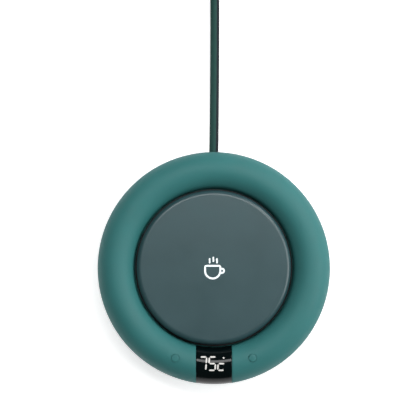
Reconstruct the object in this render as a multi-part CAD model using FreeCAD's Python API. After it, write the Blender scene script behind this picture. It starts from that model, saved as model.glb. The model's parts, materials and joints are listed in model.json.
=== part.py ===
import FreeCAD
import Part
import math
import os

# Electric mug warmer: a round rim with a heated plate in its well, a display window
# and two push keys at the front (-Y), and a mains lead at the rear (+Y).
# The origin is on the table under the middle, +Z is up, and all sizes are millimetres.

# Housing
housing_dia = 125.0
rim_width = 19.8
crown_z = 22.5
foot_height = 1.5
wall = 2.2
seam_chamfer = 0.3
tongue_height = 1.4
tongue_thick = 1.2
tongue_gap = 0.3
tongue_root = 2.6
base_round = 7.5

# Ledge in the well that carries the plate
ledge_thick = 2.0
ledge_margin = 0.8

# Heating plate
plate_gap = 1.3
plate_drop = 3.9
plate_thick = 1.5
plate_edge_height = 5.0
plate_edge_round = 2.6
plate_boss_dia = 5.2
plate_boss_inset = 0.5
plate_boss_angles = (30.0, 150.0, 270.0)
centre_boss_dia = 7.0
gasket_height = 2.0
gasket_gap = 0.5
gasket_lip = 0.3

# Heater stack under the plate
heater_gap = 1.2
heater_thick = 1.0
insulation_thick = 1.5
retainer_thick = 0.8
retainer_rim = 2.3
stack_clearance = 0.5
sensor_dia = 4.6
sensor_x = 12.0
sensor_wire_hole_dia = 3.2
lead_window_dia = 7.2
lead_window_inset = 5.0
lead_window_angle = 135.0
thermal_fuse_dia = 4.0
thermal_fuse_length = 11.0
thermal_fuse_x = -14.0
thermal_fuse_wire_dia = 0.9
thermal_fuse_wire = 5.0
clip_thick = 0.5
clip_width = 5.0
clip_ear = 3.0

# Screws: shank diameter, head diameter and head height
base_screw = (3.0, 5.0, 2.0)
small_screw = (2.5, 4.6, 1.6)
base_screw_length = 10.0
plate_screw_length = 6.0
board_screw_length = 5.0
clamp_screw_length = 5.0
retainer_screw_length = 3.2
screw_fit = 0.05
screw_tip_room = 0.4
screw_hole_room = 0.2
recess_width = 0.9
recess_depth = 1.0
recess_share = 0.6

# Base bosses, feet and vents
base_boss_dia = 7.6
ring_boss_dia = 5.4
boss_inset = 0.7
boss_margin = 2.6
front_boss_angles = (215.0, 325.0)
boss_joint_height = 7.0
counterbore_dia = 5.8
counterbore_depth = 3.7
foot_dia = 10.0
foot_inset = 5.0
foot_angles = (45.0, 135.0, 225.0, 315.0)
foot_pocket = 0.8
foot_fit = 0.1
vent_count = 12
vent_width = 2.0
vent_length = 12.0
vent_circle_r = 20.0

# Display window in the rim
window_width = 18.9
window_thick = 1.2
window_fit = 0.05
window_end_angle = 3.0
window_sweep_spare = 1.0
display_opening_gap = 0.3

# Both boards fill the ring's channel between its skirt and the base's tongue
board_skirt_gap = 1.1
board_tongue_gap = 0.6

# Control board behind the window: half lengths are along the middle of the channel
control_board_reach = 30.9
control_board_thick = 1.2
control_screw_reach = 28.2
control_boss_dia = 5.0
display_x = 16.0
display_y = 9.6
display_height = 6.2
display_inset = 0.5
display_top_gap = 3.6
chip_length = 10.0
chip_width = 4.0
chip_height = 1.6
chip_leg_reach = 1.0
chip_leg_width = 0.4
chip_leg_pitch = 1.27
chip_legs_per_side = 8

# Push keys and the switches under them
key_spacing = 40.94
key_dia = 4.2
key_fit = 0.1
key_proud = 0.4
key_edge_cut = 0.3
key_travel = 0.3
key_flange_dia = 6.0
key_flange_thick = 0.6
key_flange_gap = 0.25
key_guide_dia = 7.4
key_guide_drop = 3.5
key_foot_dia = 3.0
switch_side = 6.0
switch_height = 3.5
switch_corner = 0.6
plunger_dia = 3.4
plunger_fit = 0.05
plunger_proud = 1.5
plunger_depth = 1.3
plunger_spare = 0.2

# Power board beside the cord inlet: distances are along the middle of the channel from the inlet
power_board_start = 12.7
power_board_end = 61.8
power_board_thick = 1.6
power_board_lift = 2.9
standoff_dia = 5.6
power_screw_spots = ((0.1, 15.9), (2.1, 55.5))
mains_fuse_spot = 22.7
mains_fuse_dia = 8.0
mains_fuse_height = 7.5
transformer_spot = 32.3
transformer_radial = 10.6
transformer_width = 9.0
transformer_height = 8.0
transformer_core = 3.0
bobbin_flange = 1.0
winding_dia = 8.0
capacitor_spot = 41.8
capacitor_dia = 8.0
capacitor_height = 9.5
triac_spot = 49.6
triac_radial = 10.0
triac_thick = 4.4
triac_height = 8.5
triac_body_height = 4.3
triac_tab = 1.3

# Wires and ribbon inside the case
wire_gap = 0.05
wire_sides = 6
mains_wire_dia = 1.8
mains_wire_spread = 1.25
mains_wire_dip = 0.1
heater_wire_dia = 1.6
heater_wire_half_angle = 4.0
sensor_wire_dia = 1.2
sensor_wire_spread = 0.7
sensor_wire_board_x = 6.0
sensor_wire_board_spread = 1.3
sensor_wire_inset = 1.5
ribbon_inset = 1.5
ribbon_thick = 1.1
ribbon_overlap = 2.7

# Mains wires: side, first run, bend beyond it, distance of the last turn from the board, angle there
mains_wire_routes = (
    (-1, 7.5, (-7.0, 5.0), 8.0, 112.0),
    (1, 10.5, (-6.5, 7.0), 10.0, 117.0),
)

# Cord inlet
cord_dia = 5.0
cord_sides = 8
cord_exit_z = 7.2
gland_boss_dia = 9.6
gland_inset = 2.3
gland_length = 6.2
grommet_recess = 0.2
grommet_neck_dia = 6.8
grommet_fit = 0.05
grommet_flange_dia = 8.4
grommet_inner_flange = 1.4
grommet_outer_flange = 1.0
grommet_nose_dia = 7.4
grommet_tip_dia = 6.2
clamp_inset = 4.3
clamp_length = 18.6
clamp_width = 4.4
clamp_thick = 1.6
clamp_post_spacing = 13.2
clamp_post_dia = 5.4
clamp_gap = 0.05
saddle_width = 3.4
inner_cord_reach = 3.7

# Cord outside the case: the route is a list of points chosen by hand
floor_lift = 0.1
lead_points = (
    (0.0, 77.0, 7.2),
    (0.1, 104.0, 2.6),
    (0.2, 146.0, 2.6),
    (0.3, 168.0, 3.6),
    (0.3, 185.0, 3.6),
)
coil_outer_r = 36.75
coil_pitch = 5.5
coil_layer_pitch = 5.45
coil_quarters = 23
tail_points = (
    (-15.0, 153.25, 9.05),
    (2.0, 154.4, 8.9),
    (16.7, 162.9, 8.0),
    (24.7, 177.9, 6.95),
    (24.7, 194.0, 6.95),
)
tie_width = 9.0
tie_thick = 0.9
tie_round = 1.8
tie_gap = 0.2
tie_outer_gap = 0.5
tie_inner_gap = 1.0

# Mains plug
plug_width = 35.3
plug_thick = 13.7
plug_neck_width = 13.0
plug_straight = 12.0
plug_body_length = 30.0
plug_round = 3.0
relief_length = 12.0
relief_tip_dia = 7.0
relief_root_dia = 11.0
pin_dia = 4.0
pin_core_dia = 3.0
pin_length = 19.0
pin_tip_cut = 1.0
pin_spacing = 18.6
pin_seat_depth = 8.0
pin_fit = 0.05
sleeve_dia = 3.6
sleeve_length = 10.0

# Places worked out from the sizes above
outer_r = housing_dia / 2
rim_r = rim_width / 2
rim_mid_r = outer_r - rim_r
seam_z = crown_z - rim_r
hole_r = outer_r - rim_width
inner_rim_r = rim_r - wall
floor_z = foot_height + wall
base_flat_r = outer_r - base_round
tongue_outer_r = outer_r - wall - tongue_gap
tongue_inner_r = tongue_outer_r - tongue_thick
boss_circle_r = rim_mid_r - boss_inset
foot_circle_r = base_flat_r - foot_inset - foot_dia / 2
key_half_angle = math.degrees(math.asin(key_spacing / 2 / rim_mid_r))

plate_r = hole_r - plate_gap
plate_top_z = crown_z - plate_drop
plate_under_z = plate_top_z - plate_thick
plate_edge_z = plate_top_z - plate_edge_height
plate_inner_r = plate_r - plate_thick
plate_boss_r = plate_boss_dia / 2
plate_boss_circle_r = plate_inner_r - plate_boss_inset - plate_boss_r
ledge_top_z = plate_edge_z - gasket_height
ledge_low_z = ledge_top_z - ledge_thick
ledge_inner_r = plate_boss_circle_r - plate_boss_r - ledge_margin
heater_r = plate_boss_circle_r - plate_boss_r - heater_gap
lead_window_r = heater_r - lead_window_inset
heater_low_z = plate_under_z - heater_thick
insulation_low_z = heater_low_z - insulation_thick
retainer_low_z = insulation_low_z - retainer_thick

display_top_z = crown_z - display_top_gap
control_top_z = display_top_z - display_height
control_low_z = control_top_z - control_board_thick
board_inner_r = hole_r + wall + board_skirt_gap
board_outer_r = tongue_inner_r - board_tongue_gap
board_mid_r = (board_inner_r + board_outer_r) / 2
control_board_half_angle = math.degrees(control_board_reach / board_mid_r)
control_screw_half_angle = math.degrees(control_screw_reach / board_mid_r)
rear_boss_half_angle = math.degrees((power_board_end + boss_margin + base_boss_dia / 2) / board_mid_r)
boss_angles = (90.0 - rear_boss_half_angle, 90.0 + rear_boss_half_angle) + front_boss_angles
display_mid_r = rim_mid_r - display_inset
ribbon_inner_r = board_outer_r - ribbon_inset
power_low_z = floor_z + power_board_lift
power_top_z = power_low_z + power_board_thick
power_wire_z = power_low_z + power_board_thick / 2
clamp_low_z = cord_exit_z + cord_dia / 2 + clamp_gap
gland_outer_y = outer_r - gland_inset
gland_inner_y = gland_outer_y - gland_length
cord_exit_y = outer_r - grommet_recess
clamp_y = gland_inner_y - clamp_inset
inner_cord_end_y = clamp_y - inner_cord_reach

cord_r = cord_dia / 2
boss_joint_z = foot_height + boss_joint_height
coil_low_z = tie_thick + tie_gap + cord_r
coil_high_z = coil_low_z + coil_layer_pitch
coil_centre_x = lead_points[-1][0] - coil_outer_r
coil_centre_y = lead_points[-1][1] + cord_dia
coil_turn = math.radians(90.0 * coil_quarters)
plug_axis_z = plug_thick / 2 + floor_lift
plug_x = tail_points[-1][0]
plug_start_y = tail_points[-1][1]
plug_back_y = plug_start_y + relief_length
plug_face_y = plug_back_y + plug_body_length

origin = FreeCAD.Vector(0, 0, 0)
axis_x = FreeCAD.Vector(1, 0, 0)
axis_y = FreeCAD.Vector(0, 1, 0)
axis_z = FreeCAD.Vector(0, 0, 1)
through = 1.0


def vec(x, y, z):
    return FreeCAD.Vector(x, y, z)


def polar(radius, degrees, z):
    turn = math.radians(degrees)
    return vec(radius * math.cos(turn), radius * math.sin(turn), z)


# An outline in the X-Z plane: a step is a point, or a via point and an end point for an arc
def outline(start, *steps):
    edges = []
    here = vec(start[0], 0, start[1])
    for step in steps:
        if isinstance(step[0], tuple):
            via = vec(step[0][0], 0, step[0][1])
            end = vec(step[1][0], 0, step[1][1])
            edges.append(Part.Arc(here, via, end).toShape())
        else:
            end = vec(step[0], 0, step[1])
            edges.append(Part.LineSegment(here, end).toShape())
        here = end
    first = vec(start[0], 0, start[1])
    if not here.isEqual(first, 1e-6):
        edges.append(Part.LineSegment(here, first).toShape())
    return Part.Face(Part.Wire(edges))


def lathe(face, degrees=360.0):
    return face.revolve(origin, axis_z, degrees)


def on_circle(centre_r, centre_z, radius, degrees):
    turn = math.radians(degrees)
    return (centre_r + radius * math.cos(turn), centre_z + radius * math.sin(turn))


def column(diameter, spot, low_z, high_z):
    return Part.makeCylinder(diameter / 2, high_z - low_z, vec(spot.x, spot.y, low_z))


# An upright prism of the given size across its flats
def prism(across, spot, low_z, high_z, sides=8):
    corner_r = across / 2 / math.cos(math.pi / sides)
    corners = [spot + polar(corner_r, 360.0 * (index + 0.5) / sides, 0) for index in range(sides + 1)]
    face = Part.Face(Part.makePolygon(corners))
    face.translate(vec(0, 0, low_z - spot.z))
    return face.extrude(axis_z * (high_z - low_z))


def rod_y(diameter, x, z, start_y, end_y):
    return Part.makeCylinder(diameter / 2, end_y - start_y, vec(x, start_y, z), axis_y)


def block(x0, x1, y0, y1, z0, z1):
    return Part.makeBox(x1 - x0, y1 - y0, z1 - z0, vec(x0, y0, z0))


def disc(radius, low_z, high_z):
    return Part.makeCylinder(radius, high_z - low_z, vec(0, 0, low_z))


def annulus(inner, outer, low_z, high_z):
    return disc(outer, low_z, high_z).cut(disc(inner, low_z - through, high_z + through))


def sector(inner, outer, start, end, low_z, high_z):
    face = outline((inner, low_z), (outer, low_z), (outer, high_z), (inner, high_z))
    face.rotate(origin, axis_z, start)
    return lathe(face, end - start)


# A box whose length lies along the radius, standing at a polar spot
def radial_block(radial, width, height, centre_r, degrees, low_z):
    shape = block(centre_r - radial / 2, centre_r + radial / 2, -width / 2, width / 2, low_z, low_z + height)
    shape.rotate(origin, axis_z, degrees)
    return shape


def fused(shapes):
    return shapes[0].multiFuse(shapes[1:]).removeSplitter()


def screw(kind, length, spot, seat_z, direction, crossed=False):
    shank_dia, head_dia, head_height = kind
    tip = seat_z + direction * length
    head_end = seat_z - direction * head_height
    shank = prism(shank_dia, spot, min(seat_z, tip), max(seat_z, tip))
    if crossed:
        head = column(head_dia, spot, min(seat_z, head_end), max(seat_z, head_end))
    else:
        head = prism(head_dia, spot, min(seat_z, head_end), max(seat_z, head_end), 6)
    shape = fused([head, shank])
    if crossed:
        reach = head_dia * recess_share / 2
        low = head_end - recess_depth
        high = head_end + recess_depth
        half = recess_width / 2
        slots = [
            block(spot.x - reach, spot.x + reach, spot.y - half, spot.y + half, low, high),
            block(spot.x - half, spot.x + half, spot.y - reach, spot.y + reach, low, high),
        ]
        shape = shape.cut(fused(slots))
    return shape


def screw_hole(kind, spot, low_z, high_z):
    return prism(kind[0] + 2 * screw_fit, spot, low_z, high_z)


def clearance_hole(kind, spot, low_z, high_z):
    return prism(kind[0] + 2 * screw_hole_room, spot, low_z, high_z)


# Cord and wire paths: straight runs joined by tangent arcs
def corner_radius(before, corner, after):
    first = corner - before
    second = after - corner
    turn = first.getAngle(second)
    return 0.45 * min(first.Length, second.Length) / math.tan(turn / 2)


def route_wire(points):
    edges = []
    here = points[0]
    for index in range(1, len(points) - 1):
        before, corner, after = points[index - 1:index + 2]
        back = (before - corner).normalize()
        ahead = (after - corner).normalize()
        reach = 0.45 * min((before - corner).Length, (after - corner).Length)
        radius = corner_radius(before, corner, after)
        bisector = (back + ahead).normalize()
        to_centre = math.hypot(reach, radius)
        middle = corner + bisector * (to_centre - radius)
        edges.append(Part.LineSegment(here, corner + back * reach).toShape())
        edges.append(Part.Arc(corner + back * reach, middle, corner + ahead * reach).toShape())
        here = corner + ahead * reach
    edges.append(Part.LineSegment(here, points[-1]).toShape())
    return Part.Wire(edges)


# A closed polygon round a path's start, of the given size across its flats
def section_wire(start, heading, across, sides):
    corner_r = across / 2 / math.cos(math.pi / sides)
    side = heading.cross(axis_x if abs(heading.z) > 0.5 else axis_z).normalize()
    up = side.cross(heading).normalize()
    corners = []
    for index in range(sides + 1):
        turn = 2 * math.pi * (index + 0.5) / sides
        corners.append(start + side * (corner_r * math.cos(turn)) + up * (corner_r * math.sin(turn)))
    return Part.makePolygon(corners)


def tube(points, across, sides):
    path = route_wire(points)
    section = section_wire(points[0], points[1] - points[0], across, sides)
    return path.makePipeShell([section], True, False), path


def section_area(across, sides):
    return sides * (across / 2) ** 2 * math.tan(math.pi / sides)


def print_tube(name, solid, path):
    share = solid.Volume / (section_area(cord_dia, cord_sides) * path.Length)
    print(name, "length %.1f volume share %.4f" % (path.Length, share))


def print_radii(name, points):
    radii = [corner_radius(*points[index:index + 3]) for index in range(len(points) - 2)]
    print(name, "radii", " ".join("%.0f" % radius for radius in radii))


# Housing
def rim_arc(radius, start, end):
    middle = (start + end) / 2
    return (on_circle(rim_mid_r, seam_z, radius, middle), on_circle(rim_mid_r, seam_z, radius, end))


def make_window_band(inner, outer, end_angle, half_width):
    face = outline(
        on_circle(rim_mid_r, seam_z, inner, end_angle),
        on_circle(rim_mid_r, seam_z, outer, end_angle),
        rim_arc(outer, end_angle, 180.0 - end_angle),
        on_circle(rim_mid_r, seam_z, inner, 180.0 - end_angle),
        rim_arc(inner, 180.0 - end_angle, end_angle),
    )
    spread = 2 * (math.degrees(math.asin(half_width / hole_r)) + window_sweep_spare)
    face.rotate(origin, axis_z, 270.0 - spread / 2)
    strip = block(-half_width, half_width, -outer_r - through, -hole_r + rim_r, 0, crown_z + through)
    return lathe(face, spread).common(strip)


def key_spot(side):
    return polar(rim_mid_r, 270.0 + side * key_half_angle, 0)


def control_screw_spot(side):
    return polar(board_mid_r, 270.0 + side * control_screw_half_angle, 0)


# The angle of a distance along the middle of the power board's channel, counted from the cord inlet
def power_angle(distance):
    return 90.0 + math.degrees(distance / board_mid_r)


def power_screw_spot(inset, distance):
    return polar(board_mid_r - inset, power_angle(distance), 0)


def make_top_ring():
    seam_angle = math.degrees(math.asin(seam_chamfer / rim_r))
    inside_corner_r = inner_rim_r / math.cos(math.pi / 8)
    face = outline(
        (outer_r - seam_chamfer, seam_z),
        on_circle(rim_mid_r, seam_z, rim_r, seam_angle),
        rim_arc(rim_r, seam_angle, 180.0),
        (hole_r, ledge_top_z),
        (ledge_inner_r, ledge_top_z),
        (ledge_inner_r, ledge_low_z),
        (hole_r + wall, ledge_low_z),
        on_circle(rim_mid_r, seam_z, inside_corner_r, 157.5),
        on_circle(rim_mid_r, seam_z, inside_corner_r, 112.5),
        on_circle(rim_mid_r, seam_z, inside_corner_r, 67.5),
        on_circle(rim_mid_r, seam_z, inside_corner_r, 22.5),
        (rim_mid_r + inner_rim_r, seam_z),
    )
    ring = lathe(face)
    added = []
    removed = []
    wall_middle_z = crown_z - wall / 2
    for degrees in boss_angles:
        spot = polar(boss_circle_r, degrees, 0)
        added.append(prism(ring_boss_dia, spot, boss_joint_z, wall_middle_z))
        tip_z = foot_height + counterbore_depth + base_screw_length
        removed.append(screw_hole(base_screw, spot, boss_joint_z - through, tip_z + screw_tip_room))
    guide_low_z = crown_z - key_guide_drop
    for side in (-1, 1):
        spot = control_screw_spot(side)
        added.append(prism(control_boss_dia, spot, control_top_z, wall_middle_z))
        tip_z = control_low_z + board_screw_length
        removed.append(screw_hole(small_screw, spot, control_top_z - through, tip_z + screw_tip_room))
        spot = key_spot(side)
        added.append(prism(key_guide_dia, spot, guide_low_z, wall_middle_z))
        removed.append(column(key_dia + 2 * key_fit, spot, guide_low_z - through, crown_z + through))
    for degrees in plate_boss_angles:
        spot = polar(plate_boss_circle_r, degrees, 0)
        removed.append(clearance_hole(small_screw, spot, ledge_low_z - through, ledge_top_z + through))
    rebate_r = rim_r - window_thick - window_fit
    rebate_end = window_end_angle - math.degrees(window_fit / rim_r)
    removed.append(make_window_band(rebate_r, rim_r + through, rebate_end, window_width / 2 + window_fit))
    half_x = display_x / 2 + display_opening_gap
    half_y = display_y / 2 + display_opening_gap
    far_y = -display_mid_r - half_y
    near_y = -display_mid_r + half_y
    removed.append(block(-half_x, half_x, far_y, near_y, display_top_z - through, crown_z))
    ring = fused([ring] + added)
    return ring.cut(fused(removed))


def make_display_window():
    return make_window_band(rim_r - window_thick, rim_r, window_end_angle, window_width / 2)


def make_vents():
    slots = []
    inner = vent_circle_r - vent_length / 2
    outer = vent_circle_r + vent_length / 2
    half = vent_width / 2
    for index in range(vent_count):
        slot = block(inner, outer, -half, half, foot_height - through, floor_z + through)
        slot.rotate(origin, axis_z, 360.0 * index / vent_count)
        slots.append(slot)
    return slots


def make_base_shell():
    inner_wall_r = outer_r - wall
    corner_z = foot_height + base_round
    inside_cut = (base_round - wall) * math.tan(math.pi / 8)
    face = outline(
        (0, foot_height),
        (base_flat_r, foot_height),
        (on_circle(base_flat_r, corner_z, base_round, -45.0), (outer_r, corner_z)),
        (outer_r, seam_z - seam_chamfer),
        (outer_r - seam_chamfer, seam_z),
        (tongue_outer_r, seam_z),
        (tongue_outer_r, seam_z + tongue_height),
        (tongue_inner_r, seam_z + tongue_height),
        (tongue_inner_r, seam_z - tongue_root + tongue_thick),
        (inner_wall_r, seam_z - tongue_root),
        (inner_wall_r, corner_z - inside_cut),
        (base_flat_r + inside_cut, floor_z),
        (0, floor_z),
    )
    shell = lathe(face)
    root_z = floor_z - wall / 2
    added = [rod_y(gland_boss_dia, 0, cord_exit_z, gland_inner_y, gland_outer_y)]
    removed = [rod_y(grommet_neck_dia + 2 * grommet_fit, 0, cord_exit_z, gland_inner_y - through, outer_r)]
    pocket_dia = grommet_flange_dia + 2 * grommet_fit
    removed.append(rod_y(pocket_dia, 0, cord_exit_z, gland_outer_y, outer_r + through))
    removed.append(rod_y(pocket_dia, 0, cord_exit_z, inner_cord_end_y, gland_inner_y))
    for degrees in boss_angles:
        spot = polar(boss_circle_r, degrees, 0)
        added.append(prism(base_boss_dia, spot, root_z, boss_joint_z))
        removed.append(column(counterbore_dia, spot, 0, foot_height + counterbore_depth))
        removed.append(clearance_hole(base_screw, spot, 0, boss_joint_z + through))
    for degrees in foot_angles:
        spot = polar(foot_circle_r, degrees, 0)
        removed.append(column(foot_dia + 2 * foot_fit, spot, 0, foot_height + foot_pocket))
    for inset, distance in power_screw_spots:
        spot = power_screw_spot(inset, distance)
        added.append(prism(standoff_dia, spot, root_z, power_low_z))
        removed.append(screw_hole(small_screw, spot, floor_z, power_low_z + through))
    for side in (-1, 1):
        spot = vec(side * clamp_post_spacing / 2, clamp_y, 0)
        added.append(prism(clamp_post_dia, spot, root_z, clamp_low_z))
        removed.append(screw_hole(small_screw, spot, clamp_low_z - clamp_screw_length, clamp_low_z + through))
    saddle_high = cord_exit_z - cord_r - clamp_gap
    added.append(block(-cord_r, cord_r, clamp_y - saddle_width / 2, clamp_y + saddle_width / 2,
                       root_z, saddle_high))
    shell = fused([shell] + added)
    return shell.cut(fused(removed + make_vents()))


def make_rubber_feet():
    feet = []
    for degrees in foot_angles:
        spot = polar(foot_circle_r, degrees, 0)
        feet.append(column(foot_dia, spot, 0, foot_height + foot_pocket))
    return Part.makeCompound(feet)


def make_base_screws():
    seat_z = foot_height + counterbore_depth
    shapes = []
    for degrees in boss_angles:
        spot = polar(boss_circle_r, degrees, 0)
        shapes.append(screw(base_screw, base_screw_length, spot, seat_z, 1, True))
    return Part.makeCompound(shapes)


# Heating plate and the heater under it
def make_heating_plate():
    round_r = plate_edge_round
    inside_cut = (round_r - plate_thick) * math.tan(math.pi / 8)
    corner_r = plate_r - round_r
    corner_z = plate_top_z - round_r
    face = outline(
        (0, plate_under_z),
        (corner_r + inside_cut, plate_under_z),
        (plate_inner_r, corner_z + inside_cut),
        (plate_inner_r, plate_edge_z),
        (plate_r, plate_edge_z),
        (plate_r, corner_z),
        (on_circle(corner_r, corner_z, round_r, 45.0), (corner_r, plate_top_z)),
        (0, plate_top_z),
    )
    root_z = plate_under_z + plate_thick / 2
    added = [prism(centre_boss_dia, origin, insulation_low_z, root_z)]
    tip_z = retainer_low_z + retainer_screw_length
    removed = [screw_hole(small_screw, origin, insulation_low_z - through, tip_z + screw_fit)]
    for degrees in plate_boss_angles:
        spot = polar(plate_boss_circle_r, degrees, 0)
        added.append(prism(plate_boss_dia, spot, ledge_top_z, root_z))
        tip_z = ledge_low_z + plate_screw_length
        removed.append(screw_hole(small_screw, spot, ledge_top_z - through, tip_z + screw_tip_room))
    return fused([lathe(face)] + added).cut(fused(removed))


def make_plate_gasket():
    return annulus(plate_inner_r - gasket_lip, hole_r - gasket_gap, ledge_top_z, plate_edge_z)


def make_plate_screws():
    shapes = []
    for degrees in plate_boss_angles:
        spot = polar(plate_boss_circle_r, degrees, 0)
        shapes.append(screw(small_screw, plate_screw_length, spot, ledge_low_z, 1))
    return Part.makeCompound(shapes)


def stack_disc(low_z, high_z, with_lead_window):
    holes = [
        prism(centre_boss_dia + 2 * stack_clearance, origin, low_z - through, high_z + through),
        prism(sensor_dia + 2 * screw_fit, vec(sensor_x, 0, 0), low_z - through, high_z + through),
    ]
    if with_lead_window:
        spot = polar(lead_window_r, lead_window_angle, 0)
        holes.append(prism(lead_window_dia, spot, low_z - through, high_z + through))
    return disc(heater_r, low_z, high_z).cut(fused(holes))


def make_heater_retainer():
    pan = disc(heater_r, retainer_low_z, insulation_low_z)
    rim = annulus(heater_r - retainer_thick, heater_r, retainer_low_z - retainer_rim + retainer_thick,
                  insulation_low_z)
    low = retainer_low_z - through
    high = insulation_low_z + through
    holes = [
        clearance_hole(small_screw, origin, low, high),
        prism(sensor_wire_hole_dia, vec(sensor_x, 0, 0), low, high),
        prism(lead_window_dia, polar(lead_window_r, lead_window_angle, 0), low, high),
    ]
    return fused([pan, rim]).cut(fused(holes))


def make_retainer_screw():
    return screw(small_screw, retainer_screw_length, origin, retainer_low_z, 1)


def make_temperature_sensor():
    return prism(sensor_dia, vec(sensor_x, 0, 0), insulation_low_z, plate_under_z)


def fuse_axis_z():
    return retainer_low_z - thermal_fuse_dia / 2 - screw_fit


def make_thermal_fuse():
    half = thermal_fuse_length / 2
    can = rod_y(thermal_fuse_dia, thermal_fuse_x, fuse_axis_z(), -half, half)
    wire = rod_y(thermal_fuse_wire_dia, thermal_fuse_x, fuse_axis_z(), -half - thermal_fuse_wire,
                 half + thermal_fuse_wire)
    return fused([can, wire])


def make_fuse_clip():
    half = clip_width / 2
    z = fuse_axis_z()
    bore_dia = thermal_fuse_dia + 2 * screw_fit
    strap_dia = bore_dia + 2 * clip_thick
    x = thermal_fuse_x
    strap = rod_y(strap_dia, x, z, -half, half)
    arms = block(x - strap_dia / 2, x + strap_dia / 2, -half, half, z, retainer_low_z)
    reach = strap_dia / 2 + clip_ear
    ears = block(x - reach, x + reach, -half, half, retainer_low_z - clip_thick, retainer_low_z)
    bore = rod_y(bore_dia, x, z, -half - through, half + through)
    room = block(x - bore_dia / 2, x + bore_dia / 2, -half - through, half + through, z, retainer_low_z)
    above = block(x - reach, x + reach, -half, half, retainer_low_z, retainer_low_z + strap_dia)
    return fused([strap, arms, ears]).cut(fused([bore, room, above]))


# Control board with its display, chip and key switches
def make_control_board():
    start = 270.0 - control_board_half_angle
    end = 270.0 + control_board_half_angle
    board = sector(board_inner_r, board_outer_r, start, end, control_low_z, control_top_z)
    holes = []
    for side in (-1, 1):
        spot = control_screw_spot(side)
        holes.append(clearance_hole(small_screw, spot, control_low_z - through, control_top_z + through))
    return board.cut(fused(holes))


def make_led_display():
    half_x = display_x / 2
    far_y = -display_mid_r - display_y / 2
    return block(-half_x, half_x, far_y, far_y + display_y, control_top_z, display_top_z)


def make_microcontroller():
    half = chip_length / 2
    y = -board_mid_r
    low_z = control_low_z - chip_height
    body = block(-half, half, y - chip_width / 2, y + chip_width / 2, low_z, control_low_z)
    legs = []
    reach = chip_width / 2 + chip_leg_reach
    for index in range(chip_legs_per_side):
        x = (index - (chip_legs_per_side - 1) / 2) * chip_leg_pitch
        legs.append(block(x - chip_leg_width / 2, x + chip_leg_width / 2, y - reach, y + reach,
                          control_low_z - chip_height / 2, control_low_z))
    return fused([body] + legs)


def make_key_switch(side):
    half = switch_side / 2
    top_z = control_top_z + switch_height
    body = block(-half, half, -half, half, control_top_z, top_z)
    uprights = [edge for edge in body.Edges if abs(edge.Vertexes[0].Z - edge.Vertexes[1].Z) > through]
    body = body.makeChamfer(switch_corner, uprights)
    bottom_z = top_z - plunger_depth - key_travel - plunger_spare
    body = body.cut(prism(plunger_dia + 2 * plunger_fit, origin, bottom_z, top_z + through))
    body.rotate(origin, axis_z, side * key_half_angle)
    body.translate(key_spot(side))
    return body


def make_switch_plunger(side):
    top_z = control_top_z + switch_height
    plunger = prism(plunger_dia, origin, top_z - plunger_depth, top_z + plunger_proud)
    plunger.rotate(origin, axis_z, side * key_half_angle)
    plunger.translate(key_spot(side))
    return plunger


def make_key(side):
    spot = key_spot(side)
    top_z = crown_z + key_proud
    flange_top = crown_z - key_guide_drop - key_flange_gap
    flange_low = flange_top - key_flange_thick
    plunger_top = control_top_z + switch_height + plunger_proud
    head = column(key_dia, spot, flange_low, top_z)
    rim = [edge for edge in head.Edges if abs(edge.BoundBox.ZMin - top_z) < screw_fit and edge.Closed]
    head = head.makeChamfer(key_edge_cut, rim)
    flange = prism(key_flange_dia, spot, flange_low, flange_top)
    foot = prism(key_foot_dia, spot, plunger_top, flange_top)
    return fused([head, flange, foot])


def make_board_screws():
    shapes = []
    for side in (-1, 1):
        shapes.append(screw(small_screw, board_screw_length, control_screw_spot(side), control_low_z, 1))
    length = power_top_z - floor_z - screw_tip_room
    for inset, distance in power_screw_spots:
        shapes.append(screw(small_screw, length, power_screw_spot(inset, distance), power_top_z, -1))
    return Part.makeCompound(shapes)


# Power board and what stands on it
def make_power_board():
    board = sector(board_inner_r, board_outer_r, power_angle(power_board_start), power_angle(power_board_end),
                   power_low_z, power_top_z)
    holes = []
    for inset, distance in power_screw_spots:
        spot = power_screw_spot(inset, distance)
        holes.append(clearance_hole(small_screw, spot, power_low_z - through, power_top_z + through))
    return board.cut(fused(holes))


def make_mains_fuse():
    return column(mains_fuse_dia, polar(board_mid_r, power_angle(mains_fuse_spot), 0), power_top_z,
                  power_top_z + mains_fuse_height)


def make_transformer():
    degrees = power_angle(transformer_spot)
    core_z = power_top_z + (transformer_height - transformer_core) / 2
    parts = [
        radial_block(transformer_radial, transformer_width, transformer_core, board_mid_r, degrees, core_z),
        radial_block(transformer_radial, transformer_width, bobbin_flange, board_mid_r, degrees, power_top_z),
        radial_block(transformer_radial, transformer_width, bobbin_flange, board_mid_r, degrees,
                     power_top_z + transformer_height - bobbin_flange),
        prism(winding_dia, polar(board_mid_r, degrees, 0), power_top_z, power_top_z + transformer_height),
    ]
    return fused(parts)


def make_smoothing_capacitor():
    spot = polar(board_mid_r, power_angle(capacitor_spot), 0)
    return column(capacitor_dia, spot, power_top_z, power_top_z + capacitor_height)


def make_triac():
    degrees = power_angle(triac_spot)
    body = radial_block(triac_radial, triac_thick, triac_body_height, board_mid_r, degrees, power_top_z)
    tab = radial_block(triac_radial, triac_tab, triac_height, board_mid_r, degrees, power_top_z)
    return fused([body, tab])


# Wires inside the case
def make_mains_leads():
    leads = []
    for side, run, bend, reach, degrees in mains_wire_routes:
        run_y = inner_cord_end_y - run
        points = [
            vec(side * mains_wire_spread, inner_cord_end_y, cord_exit_z),
            vec(side * mains_wire_spread, run_y, cord_exit_z),
            vec(bend[0], run_y - bend[1], power_wire_z - mains_wire_dip),
            polar(board_inner_r - reach, degrees, power_wire_z),
            polar(board_inner_r - wire_gap, degrees, power_wire_z),
        ]
        leads.append(tube(points, mains_wire_dia, wire_sides)[0])
    return Part.makeCompound(leads)


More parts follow.
